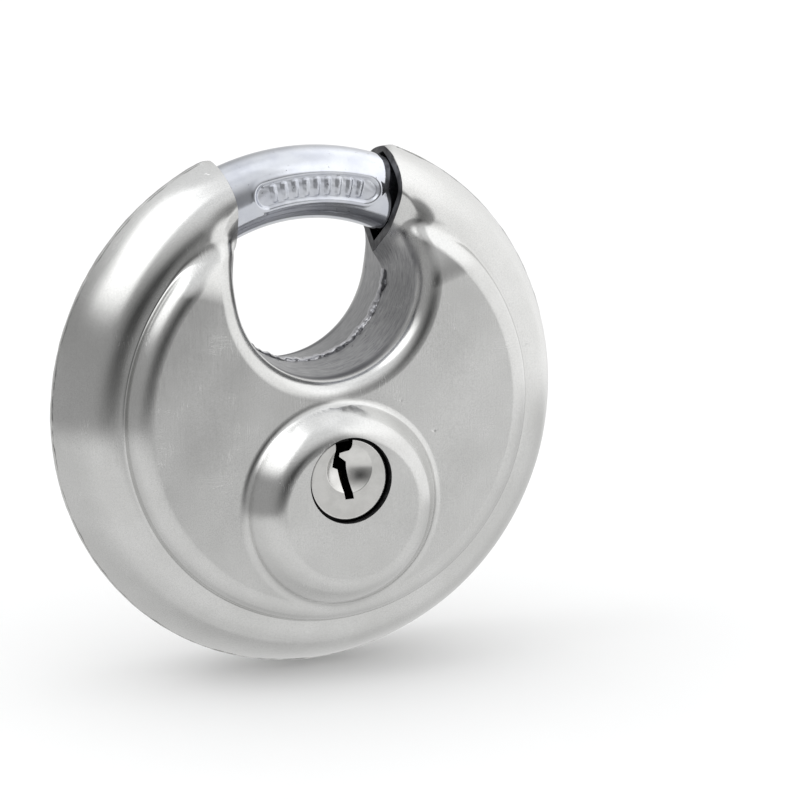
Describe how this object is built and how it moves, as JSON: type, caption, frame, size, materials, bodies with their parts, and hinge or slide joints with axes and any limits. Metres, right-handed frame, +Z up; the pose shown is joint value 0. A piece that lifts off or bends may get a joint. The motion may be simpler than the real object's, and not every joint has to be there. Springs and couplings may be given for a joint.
{
  "type": "disc padlock",
  "caption": "Round pressed-steel padlock whose curved shackle swings inside the disc to close the notch at its top, driven by a key cylinder in the front boss.",
  "frame": {"origin": "centre of the flat rear face, on the axis the shackle swings about", "axes": "+Z up towards the shackle, +Y out of the rear face, so the keyway faces -Y, +X to the right seen from the front"},
  "size_m": [0.07, 0.0263, 0.0683],
  "materials": {
    "cover_steel": "satin pressed stainless steel with a fine brushed grain and soft polish on the rounded edges",
    "shackle_chrome": "bright chrome plate on hardened steel, slightly rippled by the forging",
    "plug_nickel": "polished nickel plate over brass",
    "cylinder_brass": "turned brass",
    "pin_brass": "turned brass pins",
    "zinc_casting": "die-cast zinc alloy as it leaves the mould, about the density of cast iron",
    "hardened_steel": "hardened and tumbled steel",
    "spring_steel": "bright spring steel",
    "zinc_plated_steel": "zinc-plated screws"
  },
  "bodies": {
    "body": {"front_cover": "cover_steel", "rear_cover": "cover_steel", "front_carrier": "zinc_casting", "rear_carrier": "zinc_casting", "carrier_screws": "zinc_plated_steel", "stop_pins": "hardened_steel", "cylinder_body": "cylinder_brass", "chamber_cover": "cylinder_brass", "pin_spring_1": "spring_steel", "pin_spring_2": "spring_steel", "pin_spring_3": "spring_steel", "pin_spring_4": "spring_steel"},
    "shackle": {"shackle": "shackle_chrome", "drive_plate": "hardened_steel", "drive_plate_rivets": "hardened_steel"},
    "plug": {"plug": "plug_nickel", "driver_cam": "hardened_steel", "drive_pin": "hardened_steel", "cam_clip": "spring_steel"},
    "key_pin_1": {"key_pin_1": "pin_brass"},
    "driver_pin_1": {"driver_pin_1": "pin_brass"},
    "key_pin_2": {"key_pin_2": "pin_brass"},
    "driver_pin_2": {"driver_pin_2": "pin_brass"},
    "key_pin_3": {"key_pin_3": "pin_brass"},
    "driver_pin_3": {"driver_pin_3": "pin_brass"},
    "key_pin_4": {"key_pin_4": "pin_brass"},
    "driver_pin_4": {"driver_pin_4": "pin_brass"}
  },
  "joints": [
    {"name": "shackle_swing", "type": "hinge", "parent": "body", "child": "shackle", "pos_m": [0, -0.011, 0], "axis": [0, 1, 0], "range_deg": [0, 58]},
    {"name": "plug_turn", "type": "hinge", "parent": "body", "child": "plug", "pos_m": [0, -0.011, -0.008], "axis": [0, 1, 0], "range_deg": [0, 116]},
    {"name": "driver_pin_1_slide", "type": "slide", "parent": "body", "child": "driver_pin_1", "axis": [0, 0, -1], "range_m": [-0.0027, 0], "deforming": ["pin_spring_1"]},
    {"name": "key_pin_1_slide", "type": "slide", "parent": "plug", "child": "key_pin_1", "axis": [0, 0, -1], "range_m": [-0.0027, 0]},
    {"name": "driver_pin_2_slide", "type": "slide", "parent": "body", "child": "driver_pin_2", "axis": [0, 0, -1], "range_m": [-0.0019, 0], "deforming": ["pin_spring_2"]},
    {"name": "key_pin_2_slide", "type": "slide", "parent": "plug", "child": "key_pin_2", "axis": [0, 0, -1], "range_m": [-0.0019, 0]},
    {"name": "driver_pin_3_slide", "type": "slide", "parent": "body", "child": "driver_pin_3", "axis": [0, 0, -1], "range_m": [-0.0031, 0], "deforming": ["pin_spring_3"]},
    {"name": "key_pin_3_slide", "type": "slide", "parent": "plug", "child": "key_pin_3", "axis": [0, 0, -1], "range_m": [-0.0031, 0]},
    {"name": "driver_pin_4_slide", "type": "slide", "parent": "body", "child": "driver_pin_4", "axis": [0, 0, -1], "range_m": [-0.0023, 0], "deforming": ["pin_spring_4"]},
    {"name": "key_pin_4_slide", "type": "slide", "parent": "plug", "child": "key_pin_4", "axis": [0, 0, -1], "range_m": [-0.0023, 0]}
  ],
  "couplings": [
    {"joint": "plug_turn", "follows": "shackle_swing", "ratio": 2},
    {"joint": "key_pin_1_slide", "follows": "driver_pin_1_slide", "ratio": 1},
    {"joint": "key_pin_2_slide", "follows": "driver_pin_2_slide", "ratio": 1},
    {"joint": "key_pin_3_slide", "follows": "driver_pin_3_slide", "ratio": 1},
    {"joint": "key_pin_4_slide", "follows": "driver_pin_4_slide", "ratio": 1}
  ]
}
